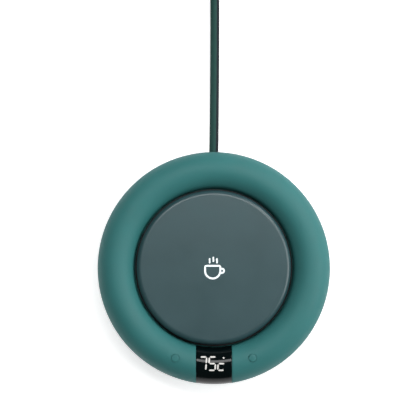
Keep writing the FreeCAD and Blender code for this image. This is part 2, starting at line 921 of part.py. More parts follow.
def make_heater_leads():
    leads = []
    for side in (-1, 1):
        degrees = lead_window_angle + side * heater_wire_half_angle
        points = [
            polar(lead_window_r, degrees, heater_low_z),
            polar(lead_window_r, degrees, power_wire_z),
            polar(board_inner_r - wire_gap, degrees, power_wire_z),
        ]
        leads.append(tube(points, heater_wire_dia, wire_sides)[0])
    return Part.makeCompound(leads)


def make_sensor_leads():
    leads = []
    for side in (-1, 1):
        sensor_end_x = sensor_x + side * sensor_wire_spread
        board_end_x = sensor_wire_board_x + side * sensor_wire_board_spread
        board_end_y = -board_inner_r - sensor_wire_inset
        points = [
            vec(sensor_end_x, 0, insulation_low_z),
            vec(sensor_end_x, 0, power_top_z),
            vec((sensor_end_x + board_end_x) / 2, board_end_y / 2, power_wire_z),
            vec(board_end_x, board_end_y, power_wire_z),
            vec(board_end_x, board_end_y, control_low_z),
        ]
        leads.append(tube(points, sensor_wire_dia, wire_sides)[0])
    return Part.makeCompound(leads)


def make_display_ribbon():
    start = power_angle(power_board_end - ribbon_overlap)
    end = 270.0 - control_board_half_angle + math.degrees(ribbon_overlap / board_mid_r)
    return sector(ribbon_inner_r, ribbon_inner_r + ribbon_thick, start, end, power_top_z, control_low_z)


# Cord inlet
def make_cord_grommet():
    flange_r = grommet_flange_dia / 2
    neck_r = grommet_neck_dia / 2
    steps = (
        (0, gland_inner_y - grommet_inner_flange),
        (flange_r, gland_inner_y - grommet_inner_flange),
        (flange_r, gland_inner_y),
        (neck_r, gland_inner_y),
        (neck_r, gland_outer_y),
        (flange_r, gland_outer_y),
        (flange_r, gland_outer_y + grommet_outer_flange),
        (grommet_nose_dia / 2, gland_outer_y + grommet_outer_flange),
        (grommet_tip_dia / 2, cord_exit_y),
        (0, cord_exit_y),
    )
    shape = lathe(outline(*steps))
    shape.rotate(origin, axis_x, -90.0)
    shape.translate(vec(0, 0, cord_exit_z))
    return shape


def make_inner_cord():
    length = gland_inner_y - grommet_inner_flange - inner_cord_end_y
    section = section_wire(vec(0, inner_cord_end_y, cord_exit_z), axis_y, cord_dia, cord_sides)
    return Part.Face(section).extrude(axis_y * length)


def make_cord_clamp():
    half = clamp_length / 2
    high_z = clamp_low_z + clamp_thick
    bar = block(-half, half, clamp_y - clamp_width / 2, clamp_y + clamp_width / 2, clamp_low_z, high_z)
    holes = []
    for side in (-1, 1):
        spot = vec(side * clamp_post_spacing / 2, clamp_y, 0)
        holes.append(clearance_hole(small_screw, spot, clamp_low_z - through, high_z + through))
    return bar.cut(fused(holes))


def make_clamp_screws():
    shapes = []
    seat_z = clamp_low_z + clamp_thick
    for side in (-1, 1):
        spot = vec(side * clamp_post_spacing / 2, clamp_y, 0)
        shapes.append(screw(small_screw, clamp_screw_length, spot, seat_z, -1))
    return Part.makeCompound(shapes)


# Cord outside the case
def make_cord_lead():
    points = [vec(0, cord_exit_y, cord_exit_z)] + [vec(*point) for point in lead_points]
    solid, path = tube(points, cord_dia, cord_sides)
    print_radii("lead", points)
    print_tube("lead", solid, path)
    return solid


# The coil winds in for half of its turns on the lower layer and out again on the upper one
def coil_point(turned):
    half = coil_turn / 2
    radius = coil_outer_r - coil_pitch * (half - abs(half - turned)) / (2 * math.pi)
    climb = (turned - half + math.pi / 2) / math.pi
    climb = min(1.0, max(0.0, climb))
    height = coil_low_z + coil_layer_pitch * climb * climb * (3 - 2 * climb)
    x = coil_centre_x + radius * math.cos(turned)
    y = coil_centre_y + radius * math.sin(turned)
    return vec(x, y, height)


def coil_heading(turned):
    step = 1e-4
    if turned < step:
        return vec(0, 1, 0)
    if turned > coil_turn - step:
        return vec(-math.sin(turned), math.cos(turned), 0)
    return (coil_point(turned + step) - coil_point(turned - step)).normalize()


def biarc(start, start_heading, end, end_heading):
    gap = end - start
    both = start_heading + end_heading
    square = 2 * (start_heading.dot(end_heading) - 1)
    linear = -2 * gap.dot(both)
    reach = (-linear - math.sqrt(linear ** 2 - 4 * square * gap.dot(gap))) / (2 * square)
    first = start + start_heading * reach
    second = end - end_heading * reach
    joint = (first + second) * 0.5
    arcs = []
    for begin, corner, finish in ((start, first, joint), (joint, second, end)):
        weight = (finish - begin).Length / 2 / reach
        middle = (begin + corner * (2 * weight) + finish) * (1 / (2 * (1 + weight)))
        arcs.append(Part.Arc(begin, middle, finish).toShape())
    return arcs


def coil_ends():
    start = coil_point(0)
    end = coil_point(coil_turn)
    return start - coil_heading(0) * cord_dia, end + coil_heading(coil_turn) * cord_dia


def make_cord_coil():
    begin, finish = coil_ends()
    edges = [Part.LineSegment(begin, coil_point(0)).toShape()]
    for quarter in range(coil_quarters):
        start = quarter * math.pi / 2
        end = (quarter + 1) * math.pi / 2
        edges.extend(biarc(coil_point(start), coil_heading(start), coil_point(end), coil_heading(end)))
    edges.append(Part.LineSegment(coil_point(coil_turn), finish).toShape())
    path = Part.Wire(edges)
    section = section_wire(begin, axis_y, cord_dia, cord_sides)
    solid = path.makePipeShell([section], True, False)
    print_tube("coil", solid, path)
    print("coil least gap %.2f" % coil_least_gap(path))
    return solid


# Least gap of the coil to itself, over points that are more than a third of a turn apart
def coil_least_gap(path):
    count = 900
    points = path.discretize(count)
    step = path.Length / (count - 1)
    apart = int(2 * coil_outer_r / step)
    least = coil_outer_r
    for first in range(count):
        for second in range(first + apart, count):
            least = min(least, (points[first] - points[second]).Length)
    return least - cord_dia


def make_cord_tail():
    points = [coil_ends()[1]] + [vec(*point) for point in tail_points]
    solid, path = tube(points, cord_dia, cord_sides)
    print_radii("tail", points)
    print_tube("tail", solid, path)
    return solid


# A strap round the bundle on the side away from the lead
def make_cord_tie():
    half_turns = int(coil_turn / 2 / math.pi)
    inner_turn = math.pi * (half_turns if half_turns % 2 else half_turns - 1)
    inner_r = coil_centre_x - coil_point(inner_turn).x - cord_r
    half = tie_width / 2
    inner_x = coil_centre_x - math.sqrt(inner_r ** 2 - half ** 2) + tie_inner_gap
    outer_x = coil_centre_x - coil_outer_r - cord_r - tie_outer_gap
    y0 = coil_centre_y - half
    y1 = coil_centre_y + half
    high_z = coil_high_z + cord_r + tie_gap
    outside = block(outer_x - tie_thick, inner_x + tie_thick, y0, y1, 0, high_z + tie_thick)
    rounded = [edge for edge in outside.Edges if edge.Length > tie_width - screw_fit and
               abs(edge.Vertexes[0].Y - edge.Vertexes[1].Y) > tie_width - screw_fit]
    outside = outside.makeFillet(tie_round, rounded)
    inside = block(outer_x, inner_x, y0 - through, y1 + through, tie_thick, high_z)
    return outside.cut(inside)


# Mains plug
def make_plug_body():
    half_neck = plug_neck_width / 2
    half_width = plug_width / 2
    straight_y = plug_face_y - plug_straight
    corners = [
        vec(-half_neck, plug_back_y, 0),
        vec(half_neck, plug_back_y, 0),
        vec(half_width, straight_y, 0),
        vec(half_width, plug_face_y, 0),
        vec(-half_width, plug_face_y, 0),
        vec(-half_width, straight_y, 0),
    ]
    plan = Part.Face(Part.makePolygon(corners + corners[:1]))
    body = plan.extrude(axis_z * plug_thick)
    body.translate(vec(plug_x, 0, plug_axis_z - plug_thick / 2))
    body = body.makeFillet(plug_round, body.Edges)
    relief = Part.makeCone(relief_tip_dia / 2, relief_root_dia / 2, relief_length + plug_round,
                           vec(plug_x, plug_start_y, plug_axis_z), axis_y)
    holes = []
    for side in (-1, 1):
        holes.append(rod_y(pin_core_dia + 2 * pin_fit, plug_x + side * pin_spacing / 2, plug_axis_z,
                           plug_face_y - pin_seat_depth, plug_face_y + through))
    return fused([body, relief]).cut(fused(holes))


def make_plug_pins():
    pins = []
    for side in (-1, 1):
        x = plug_x + side * pin_spacing / 2
        core = rod_y(pin_core_dia, x, plug_axis_z, plug_face_y - pin_seat_depth, plug_face_y + sleeve_length)
        tip = rod_y(pin_dia, x, plug_axis_z, plug_face_y + sleeve_length, plug_face_y + pin_length)
        last_y = plug_face_y + pin_length
        end = [edge for edge in tip.Edges if edge.Closed and edge.BoundBox.YMin > last_y - through]
        tip = tip.makeChamfer(pin_tip_cut, end)
        pins.append(fused([core, tip]))
    return Part.makeCompound(pins)


def make_plug_sleeves():
    sleeves = []
    for side in (-1, 1):
        x = plug_x + side * pin_spacing / 2
        outer = rod_y(sleeve_dia, x, plug_axis_z, plug_face_y, plug_face_y + sleeve_length)
        bore = rod_y(pin_core_dia + 2 * pin_fit, x, plug_axis_z, plug_face_y - through,
                     plug_face_y + sleeve_length + through)
        sleeves.append(outer.cut(bore))
    return Part.makeCompound(sleeves)


def make_all():
    return {
        "top_ring": make_top_ring(),
        "base_shell": make_base_shell(),
        "rubber_feet": make_rubber_feet(),
        "base_screws": make_base_screws(),
        "display_window": make_display_window(),
        "heating_plate": make_heating_plate(),
        "plate_gasket": make_plate_gasket(),
        "plate_screws": make_plate_screws(),
        "heater_disc": stack_disc(heater_low_z, plate_under_z, False),
        "insulation_sheet": stack_disc(insulation_low_z, heater_low_z, True),
        "heater_retainer": make_heater_retainer(),
        "retainer_screw": make_retainer_screw(),
        "temperature_sensor": make_temperature_sensor(),
        "thermal_fuse": make_thermal_fuse(),
        "fuse_clip": make_fuse_clip(),
        "control_board": make_control_board(),
        "led_display": make_led_display(),
        "microcontroller": make_microcontroller(),
        "key_switch_left": make_key_switch(-1),
        "key_switch_right": make_key_switch(1),
        "plunger_left": make_switch_plunger(-1),
        "plunger_right": make_switch_plunger(1),
        "key_left": make_key(-1),
        "key_right": make_key(1),
        "board_screws": make_board_screws(),
        "power_board": make_power_board(),
        "mains_fuse": make_mains_fuse(),
        "transformer": make_transformer(),
        "smoothing_capacitor": make_smoothing_capacitor(),
        "triac": make_triac(),
        "mains_leads": make_mains_leads(),
        "heater_leads": make_heater_leads(),
        "sensor_leads": make_sensor_leads(),
        "display_ribbon": make_display_ribbon(),
        "cord_grommet": make_cord_grommet(),
        "inner_cord": make_inner_cord(),
        "cord_clamp": make_cord_clamp(),
        "clamp_screws": make_clamp_screws(),
        "cord_lead": make_cord_lead(),
        "cord_coil": make_cord_coil(),
        "cord_tail": make_cord_tail(),
        "cord_tie": make_cord_tie(),
        "plug_body": make_plug_body(),
        "plug_pins": make_plug_pins(),
        "plug_sleeves": make_plug_sleeves(),
    }


os.makedirs("parts", exist_ok=True)
for name, shape in make_all().items():
    shape.exportStep("parts/" + name + ".step")
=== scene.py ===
import json
import math

import bmesh
import bpy
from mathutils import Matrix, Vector


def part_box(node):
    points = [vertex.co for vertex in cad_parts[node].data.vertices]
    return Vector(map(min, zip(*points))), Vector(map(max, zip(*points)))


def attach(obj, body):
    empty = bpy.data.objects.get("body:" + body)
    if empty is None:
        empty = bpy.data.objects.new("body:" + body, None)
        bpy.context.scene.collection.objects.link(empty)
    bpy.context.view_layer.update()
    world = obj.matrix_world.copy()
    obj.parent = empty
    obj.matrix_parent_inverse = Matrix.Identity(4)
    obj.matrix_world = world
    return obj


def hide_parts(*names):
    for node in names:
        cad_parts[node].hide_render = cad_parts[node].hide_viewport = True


# An electric mug warmer, seen from almost straight above: a soft-touch rim, a slate plate with a
# cup pictogram, a black window with a temperature, two push keys and a mains cord.
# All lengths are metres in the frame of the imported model, unless a comment says mm, and the
# angles among the constants are degrees. The front is at -y, and the cord leaves at +y.

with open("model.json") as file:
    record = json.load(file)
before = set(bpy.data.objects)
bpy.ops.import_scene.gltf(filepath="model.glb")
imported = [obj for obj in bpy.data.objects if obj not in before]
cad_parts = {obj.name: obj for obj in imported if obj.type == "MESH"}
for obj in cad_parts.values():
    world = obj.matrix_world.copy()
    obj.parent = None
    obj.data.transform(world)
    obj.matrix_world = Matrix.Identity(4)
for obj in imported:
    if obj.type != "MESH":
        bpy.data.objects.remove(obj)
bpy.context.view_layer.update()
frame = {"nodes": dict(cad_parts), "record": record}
scene = bpy.context.scene

mm = 0.001

# Sizes that repeat the source of the part
rim_r = 9.9 * mm
wall = 2.2 * mm
seam_chamfer = 0.3 * mm
hole_r = 42.7 * mm
ledge_inner_r = 33.4 * mm
ledge_top_z = 11.6 * mm
ledge_low_z = 9.6 * mm
slot_depth = 1.25 * mm
slot_half = 9.5 * mm
slot_end = 3.0
window_half = 9.45 * mm
window_thick = 1.2 * mm
display_half_x = 8.3 * mm
key_hole_r = 2.2 * mm
key_r = 2.1 * mm
key_lip = 0.1 * mm
key_x = 20.47 * mm
key_flange_r = 3.0 * mm
key_flange_low = 18.15 * mm
key_flange_top = 18.75 * mm
key_foot_r = 1.5 * mm
plate_round = 2.6 * mm
plate_thick = 1.5 * mm
tie_thick = 0.9 * mm
cord_dia = 5.0 * mm
lead_points = (
    (0.0, 0.0623, 0.0072),
    (0.0002, 0.0770, 0.0072),
    (0.0005, 0.1040, 0.0026),
    (0.0007, 0.1460, 0.0026),
    (0.0003, 0.1680, 0.0036),
    (0.0003, 0.1850, 0.0036),
)
coil_outer_r = 36.75 * mm
coil_pitch = 5.5 * mm
coil_layer_pitch = 5.45 * mm
coil_quarters = 23
coil_steps_per_quarter = 4
tail_points = (
    (-0.0150, 0.15325, 0.00905),
    (0.0020, 0.1544, 0.0089),
    (0.0167, 0.1629, 0.0080),
    (0.0247, 0.1779, 0.00695),
    (0.0247, 0.1940, 0.00695),
)

# Places from the frame
ring_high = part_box("top_ring")[1]
outer_r = ring_high.x
crown_z = ring_high.z
rim_mid_r = outer_r - rim_r
seam_z = crown_z - rim_r
plate_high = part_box("heating_plate")[1]
plate_r = plate_high.x
plate_top = plate_high.z
tie_low, tie_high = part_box("cord_tie")
key_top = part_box("key_right")[1].z
key_y = -math.sqrt(rim_mid_r ** 2 - key_x ** 2)

# Camera: its tilt and distance, the picture's width at the rim, and the housing's place in it
camera_tilt = 5.0
camera_distance = 0.85
sensor_mm = 36.0
near_clip = 0.01
picture_px = 416
picture_width = 0.2245
middle_px = (213.8, 267.3)


def add_object(name, data):
    made = bpy.data.objects.new(name, data)
    scene.collection.objects.link(made)
    return made


def make_camera():
    data = bpy.data.cameras.new("camera")
    data.sensor_width = sensor_mm
    data.lens = sensor_mm * camera_distance / picture_width
    data.clip_start = near_clip
    tilt = math.radians(camera_tilt)
    scale = picture_width / picture_px
    right = (picture_px / 2 - middle_px[0]) * scale
    up = (middle_px[1] - picture_px / 2) * scale
    target = Vector((right, up / math.cos(tilt), seam_z))
    camera = add_object("camera", data)
    camera.location = target + camera_distance * Vector((0, -math.sin(tilt), math.cos(tilt)))
    camera.rotation_euler = (tilt, 0, 0)
    scene.camera = camera


make_camera()

# Lamps: a large soft panel from the right, a strip above the rear, and a small one that lights
# the edges. Each has a name, azimuth, elevation, distance, width, height and strength.
panels = (
    ("key_panel", 3.0, 41.0, 0.9, 0.60, 0.50, 4.6),
    ("rear_strip", 88.0, 68.5, 0.6, 0.44, 0.15, 7.2),
    ("edge_light", 48.0, 34.0, 0.6, 0.26, 0.09, 12.0),
)


def make_panel(name, azimuth, elevation, distance, width, height, strength):
    data = bpy.data.lights.new(name, "AREA")
    data.shape = "RECTANGLE"
    data.size = width
    data.size_y = height
    data.energy = strength * math.pi * width * height
    side = math.radians(azimuth)
    rise = math.radians(elevation)
    direction = Vector((math.cos(rise) * math.cos(side), math.cos(rise) * math.sin(side),
                        math.sin(rise)))
    panel = add_object(name, data)
    panel.location = distance * direction
    panel.rotation_euler = direction.to_track_quat("Z", "Y").to_euler()


for panel in panels:
    make_panel(*panel)


class Nodes:
    """Short calls that add shader nodes to one material or world."""

    def __init__(self, tree):
        self.tree = tree
        self.tree.nodes.clear()

    def add(self, kind, inputs=None, **settings):
        node = self.tree.nodes.new(kind)
        for name, value in settings.items():
            setattr(node, name, value)
        for name, value in (inputs or {}).items():
            socket = node.inputs[name]
            if isinstance(value, bpy.types.NodeSocket):
                self.tree.links.new(value, socket)
            else:
                socket.default_value = value
        return node

    def place(self, kind="Object"):
        return self.add("ShaderNodeTexCoord").outputs[kind]

    def noise(self, scale, detail, distortion=0.0):
        return self.add("ShaderNodeTexNoise", {
            "Vector": self.place(), "Scale": scale, "Detail": detail,
            "Distortion": distortion}).outputs["Fac"]

    def ribs(self, scale, direction):
        return self.add("ShaderNodeTexWave", {
            "Vector": self.place(), "Scale": scale, "Distortion": 0.4, "Detail": 1.0},
            bands_direction=direction).outputs["Fac"]

    def remap(self, value, old_range, new_range, **settings):
        return self.add("ShaderNodeMapRange", {
            "Value": value, "From Min": old_range[0], "From Max": old_range[1],
            "To Min": new_range[0], "To Max": new_range[1]}, **settings).outputs[0]

    def maths(self, operation, first, second):
        return self.add("ShaderNodeMath", {0: first, 1: second}, operation=operation).outputs[0]

    def tinted(self, color, level):
        return self.add("ShaderNodeVectorMath", {0: color, 1: level},
                        operation="MULTIPLY").outputs[0]

    def blend(self, share, first, second):
        return self.add("ShaderNodeMix", {"Factor": share, "A": first, "B": second},
                        data_type="RGBA").outputs[2]

    def bump(self, height, strength, distance):
        return self.add("ShaderNodeBump", {"Height": height, "Strength": strength,
                                           "Distance": distance}).outputs[0]

    def choose(self, share, off, on):
        return self.add("ShaderNodeMixShader", {0: share, 1: off.outputs[0], 2: on.outputs[0]})

    def surface(self, inputs):
        shader = self.add("ShaderNodeBsdfPrincipled", inputs)
        self.add("ShaderNodeOutputMaterial", {"Surface": shader.outputs[0]})


# World: white for the camera, a studio that is dark overhead for matt surfaces, and a darker one
# with a white horizon for gloss. Each sky has a height and level below, and one above.
studio_sky = (0.15, 0.75, 0.75, 0.12)
mirrored_sky = (0.02, 1.0, 0.12, 0.07)


def make_world():
    world = bpy.data.worlds.new("studio")
    scene.world = world
    world.use_nodes = True
    nodes = Nodes(world.node_tree)
    rays = nodes.add("ShaderNodeLightPath").outputs
    split = nodes.add("ShaderNodeSeparateXYZ", {"Vector": nodes.place("Generated")})

    def sky(low, low_level, high, high_level):
        ramp = nodes.add("ShaderNodeValToRGB", {"Fac": split.outputs["Z"]})
        stops = ((low, low_level), (high, high_level))
        for element, (position, level) in zip(ramp.color_ramp.elements, stops):
            element.position = position
            element.color = (level, level, level, 1)
        return nodes.add("ShaderNodeBackground", {"Color": ramp.outputs["Color"],
                                                  "Strength": 1.0})

    white = nodes.add("ShaderNodeBackground", {"Color": (1, 1, 1, 1), "Strength": 1.0})
    glossy = nodes.maths("MAXIMUM", rays["Is Glossy Ray"], rays["Is Transmission Ray"])
    lighting = nodes.choose(glossy, sky(*studio_sky), sky(*mirrored_sky))
    seen = nodes.choose(rays["Is Camera Ray"], lighting, white)
    nodes.add("ShaderNodeOutputWorld", {"Surface": seen.outputs[0]})


make_world()


def new_material(name):
    material = bpy.data.materials.new(name)
    material.use_nodes = True
    return material, Nodes(material.node_tree)


# Floor: a matt sheet just under the feet, lifted to white where the camera or gloss sees it
floor_half = 2.0
floor_drop = 0.1 * mm
floor_grey = 0.86
floor_glow = 0.62


def make_floor():
    mesh = bpy.data.meshes.new("floor")
    corners = [(-floor_half, -floor_half, 0), (floor_half, -floor_half, 0),
               (floor_half, floor_half, 0), (-floor_half, floor_half, 0)]
    mesh.from_pydata(corners, [], [(0, 1, 2, 3)])
    floor = add_object("floor", mesh)
    floor.location.z = -floor_drop
    material, nodes = new_material("pale_floor")
    rays = nodes.add("ShaderNodeLightPath").outputs
    matt = nodes.add("ShaderNodeBsdfDiffuse", {"Color": (floor_grey, floor_grey, floor_grey, 1)})
    glow = nodes.add("ShaderNodeEmission", {"Color": (1, 1, 1, 1), "Strength": floor_glow})
    lifted = nodes.add("ShaderNodeAddShader", {0: matt.outputs[0], 1: glow.outputs[0]})
    seen = nodes.maths("MAXIMUM", rays["Is Camera Ray"], rays["Is Glossy Ray"])
    shown = nodes.choose(seen, matt, lifted)
    nodes.add("ShaderNodeOutputMaterial", {"Surface": shown.outputs[0]})
    mesh.materials.append(material)


make_floor()

# Materials
noise_range = (0.3, 0.7)
mottle_scale = 55.0
grain_strength = 0.35
coat_roughness = 0.15


def finish(name, color, roughness, spread=0.06, grain=1.2, bump=0.02, mottle=0.06, specular=0.5,
           metal=0.0, coat=0.0):
    """A moulded, painted or metal surface: mottled colour, uneven gloss and a fine grain.

    The grain is in ridges per millimetre, and its bump is in millimetres.
    """
    material, nodes = new_material(name)
    cloud = nodes.noise(mottle_scale, 3.0)
    fine = nodes.noise(grain * 1000, 2.0)
    tone = nodes.remap(cloud, noise_range, (1 - mottle, 1 + mottle))
    speck = nodes.remap(fine, noise_range, (1 - mottle / 2, 1 + mottle / 2))
    nodes.surface({
        "Base Color": nodes.tinted(color, nodes.maths("MULTIPLY", tone, speck)),
        "Roughness": nodes.remap(cloud, noise_range, (roughness - spread, roughness + spread)),
        "Normal": nodes.bump(fine, grain_strength, bump * mm), "Metallic": metal,
        "Specular IOR Level": specular, "Coat Weight": coat, "Coat Roughness": coat_roughness})
    return material


def screen_black():
    """Smoked acrylic: near black and glossy, with a faint haze of handling in its gloss."""
    material, nodes = new_material("window_black")
    smear = nodes.noise(180.0, 4.0, distortion=0.6)
    nodes.surface({
        "Base Color": nodes.blend(smear, (0.0008, 0.0030, 0.0034, 1), (0.0016, 0.0044, 0.0048, 1)),
        "Roughness": nodes.remap(smear, (0.35, 0.7), (0.07, 0.16)),
        "Specular IOR Level": 0.28})
    return material


def lit_print(name, color, strength, unevenness):
    """Marks with a slightly uneven glow over a pale ink: real light for the display's digits, a
    painted glow for printed marks.
    """
    material, nodes = new_material(name)
    tone = nodes.remap(nodes.noise(900.0, 2.0), noise_range, (1 - unevenness, 1.0))
    shade = nodes.tinted(color, tone)
    nodes.surface({"Base Color": shade, "Roughness": 0.45, "Emission Color": shade,
                   "Emission Strength": strength})
    return material


def strap_weave():
    """A woven nylon strap: crossing ribs along and across."""
    material, nodes = new_material("tie_weave")
    weave = nodes.maths("MULTIPLY", nodes.ribs(260.0, "Y"), nodes.ribs(190.0, "DIAGONAL"))
    nodes.surface({
        "Base Color": nodes.blend(weave, (0.010, 0.011, 0.012, 1), (0.030, 0.032, 0.034, 1)),
        "Roughness": 0.8, "Normal": nodes.bump(weave, 0.6, 0.15 * mm), "Sheen Weight": 0.3})
    return material


def cord_jacket():
    """A rubbery green jacket, darkened to near black along one flank, set by its UV."""
    material, nodes = new_material("cord_green")
    around = nodes.add("ShaderNodeSeparateXYZ", {"Vector": nodes.place("UV")}).outputs["Y"]
    cloud = nodes.noise(400.0, 3.0)
    start = nodes.remap(around, (0.25, 0.27), (0.0, 1.0), interpolation_type="SMOOTHSTEP")
    end = nodes.remap(around, (0.49, 0.46), (0.0, 1.0), interpolation_type="SMOOTHSTEP")
    green = nodes.blend(cloud, (0.013, 0.058, 0.049, 1), (0.019, 0.070, 0.061, 1))
    nodes.surface({
        "Base Color": nodes.blend(nodes.maths("MULTIPLY", start, end), green,
                                  (0.004, 0.009, 0.014, 1)),
        "Roughness": 0.68, "Specular IOR Level": 0.22,
        "Normal": nodes.bump(cloud, 0.2, 0.05 * mm)})
    return material


# Plain finishes by material slot: colour, roughness and what differs from the defaults
finishes = {
    "soft_touch_teal": ((0.024, 0.160, 0.158), 0.60,
                        {"grain": 1.6, "bump": 0.03, "mottle": 0.04, "specular": 0.45}),
    "plate_coating": ((0.026, 0.068, 0.077), 0.43,
                      {"grain": 2.2, "bump": 0.03, "mottle": 0.07, "coat": 0.35}),
    "silicone_black": ((0.012, 0.012, 0.013), 0.75, {"mottle": 0.15, "bump": 0.04}),
    "screw_steel": ((0.42, 0.43, 0.45), 0.32, {"metal": 1.0, "mottle": 0.05, "bump": 0.01}),
    "heater_film": ((0.45, 0.20, 0.05), 0.35, {"mottle": 0.12, "coat": 0.3}),
    "insulation_felt": ((0.62, 0.60, 0.55), 0.95, {"mottle": 0.12, "bump": 0.2, "grain": 3.0}),
    "pressed_steel": ((0.55, 0.56, 0.57), 0.38, {"metal": 1.0, "mottle": 0.08}),
    "sensor_brass": ((0.62, 0.44, 0.18), 0.30, {"metal": 1.0, "mottle": 0.08}),
    "fuse_can": ((0.60, 0.60, 0.58), 0.30, {"metal": 1.0, "mottle": 0.06}),
    "board_green": ((0.020, 0.130, 0.050), 0.40, {"mottle": 0.14, "coat": 0.3}),
    "part_black": ((0.018, 0.018, 0.020), 0.50, {"mottle": 0.12}),
    "display_grey": ((0.30, 0.31, 0.32), 0.55, {"mottle": 0.06}),
    "switch_cream": ((0.70, 0.66, 0.54), 0.50, {"mottle": 0.05}),
    "ferrite": ((0.045, 0.043, 0.042), 0.70, {"mottle": 0.18}),
    "capacitor_sleeve": ((0.030, 0.045, 0.120), 0.35, {"mottle": 0.06, "coat": 0.3}),
    "wire_red": ((0.42, 0.020, 0.015), 0.48, {"mottle": 0.06}),
    "wire_brown": ((0.110, 0.045, 0.020), 0.48, {"mottle": 0.06}),
    "wire_white": ((0.62, 0.61, 0.58), 0.50, {"mottle": 0.05}),
    "ribbon_grey": ((0.30, 0.31, 0.32), 0.50, {"mottle": 0.06}),
    "pin_metal": ((0.62, 0.60, 0.55), 0.42, {"metal": 1.0, "mottle": 0.05, "bump": 0.01}),
    "sleeve_black": ((0.016, 0.016, 0.017), 0.45, {"mottle": 0.12}),
}
looks = {slot: finish(slot, color, roughness, **more)
         for slot, (color, roughness, more) in finishes.items()}
looks["window_black"] = screen_black()
looks["tie_black"] = strap_weave()
looks["cord_green"] = finish("plug_green", (0.017, 0.066, 0.056), 0.58, mottle=0.08, bump=0.05)
digits_lit = lit_print("digits_lit", (0.42, 0.415, 0.395), 0.95, 0.06)
# The cup's printed ink glows as well: a painted glow, as the print is no lamp.
cup_ink_painted_glow = lit_print("cup_ink_painted_glow", (0.80, 0.86, 0.87), 0.35, 0.05)

# Mesh pieces
weld_distance = 1e-7
sharp_angle = 35


def make_piece(name, bm, material, body, slot, *nodes):
    """Turn a bmesh into a piece that rides a body and may replace nodes of the CAD model."""
    bmesh.ops.remove_doubles(bm, verts=bm.verts, dist=weld_distance)
    bmesh.ops.recalc_face_normals(bm, faces=bm.faces)
    mesh = bpy.data.meshes.new(name)
    bm.to_mesh(mesh)
    bm.free()
    for polygon in mesh.polygons:
        polygon.use_smooth = True
    mesh.set_sharp_from_angle(angle=math.radians(sharp_angle))
    mesh.materials.append(material)
    piece = add_object(name, mesh)
    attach(piece, body)
    if nodes:
        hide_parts(*nodes)
    return piece


def add_faces(bm, rows, skip=None, wrap=False):
    """Join rows of points into quads; repeated points collapse to triangles or nothing."""
    count = len(rows)
    for index in range(count if wrap else count - 1):
        low = rows[index]
        high = rows[(index + 1) % count]
        for step in range(len(low)):
            after = (step + 1) % len(low)
            if skip and skip(index, step):
                continue
            face = []
            for vert in (low[step], low[after], high[after], high[step]):
                if vert not in face:
                    face.append(vert)
            if len(face) > 2 and not bm.faces.get(face):
                bm.faces.new(face)


def cap_ends(bm, rows):
    """Close both ends of a row of loops with a flat face."""
    bm.faces.new(rows[0])
    bm.faces.new(rows[-1][::-1])


class Points:
    """Vertices of one mesh, shared where they fall on the same spot."""

    def __init__(self, bm):
        self.bm = bm
        self.known = {}

    def at(self, x, y, z):
        key = tuple(round(value / weld_distance) for value in (x, y, z))
        if key not in self.known:
            self.known[key] = self.bm.verts.new((x, y, z))
        return self.known[key]


def lathe(name, profile, steps, material, body, slot, *nodes, centre=(0.0, 0.0)):
    """A turned piece. The profile is a list of (radius, height) from axis to axis."""
    bm = bmesh.new()
    points = Points(bm)
    rows = []
    for radius, height in profile:
        rows.append([points.at(centre[0] + radius * math.sin(2 * math.pi * step / steps),
                               centre[1] - radius * math.cos(2 * math.pi * step / steps), height)
                     for step in range(steps)])
    add_faces(bm, rows)
    make_piece(name, bm, material, body, slot, *nodes)


def arc(centre_r, centre_z, radius, start, end, steps):
    """Points (radius, height) along an arc of a section."""
    spots = []
    for index in range(steps + 1):
        turn = math.radians(start + (end - start) * index / steps)
        spots.append((centre_r + radius * math.cos(turn), centre_z + radius * math.sin(turn)))
    return spots


def on_rim(x, y, lift=0.0):
    """Height of the rim's crown surface over a spot near it."""
    across = math.hypot(x, y) - rim_mid_r
    return seam_z + math.sqrt((rim_r + lift) ** 2 - across ** 2)


# The rim: a moulded ring with a sunk window slot, an opening for the display and two key holes.
# It is a grid whose rows run round the ring, each at one angle of its section.
# The slot has a rounded lip of points (out, down) in mm.
slot_lip = ((0.44, 0.0), (0.27, 0.034), (0.13, 0.12), (0.035, 0.26), (0.0, 0.44), (0.0, 1.25))
slot_end_share = 0.6
slot_floor_x = (0.0, 2.1 * mm, 4.2 * mm, 6.3 * mm, display_half_x, 9.0 * mm)
columns_per_half = 150
row_turn = 3
first_row = 6
crown = 90
display_opening = (60, 120)
opening_reach = slot_floor_x.index(display_half_x)
key_patch_reach = 5
ledge_round = 0.3 * mm
inner_wall_end = 183.0
inner_wall_steps = 4
key_guide_r = key_hole_r + 1.5 * mm
key_guide_z = crown_z - 3.5 * mm
key_patch_shares = (0.3, 0.6, 0.85, 1.0)
key_under_shares = (0.5, 1.0)
key_lip_turns = (22.5, 45.0, 67.5, 90.0)


def rim_columns():
    """Columns: (x or None, share of the way round, share of the slot's depth)."""
    columns = [(x, 0.0, 1.0) for x in slot_floor_x]
    columns += [(slot_half + out * mm, 0.0, down * mm / slot_depth)
                for out, down in reversed(slot_lip)]
    columns += [(None, step / columns_per_half, 0.0) for step in range(1, columns_per_half)]
    left = [(None if x is None else -x, -share, depth) for x, share, depth in columns[1:]]
    return columns + [(None, 1.0, 0.0)] + left[::-1]


def grid_border(rows, across, first, last):
    """The loop of grid points round a block of columns, from row first to row last and back."""
    way = 1 if last > first else -1
    loop = [rows[first][step] for step in across]
    loop += [rows[index][across[-1]] for index in range(first + way, last + way, way)]
    loop += [rows[last][step] for step in across[-2::-1]]
    loop += [rows[index][across[0]] for index in range(last - way, first, -way)]
    return loop


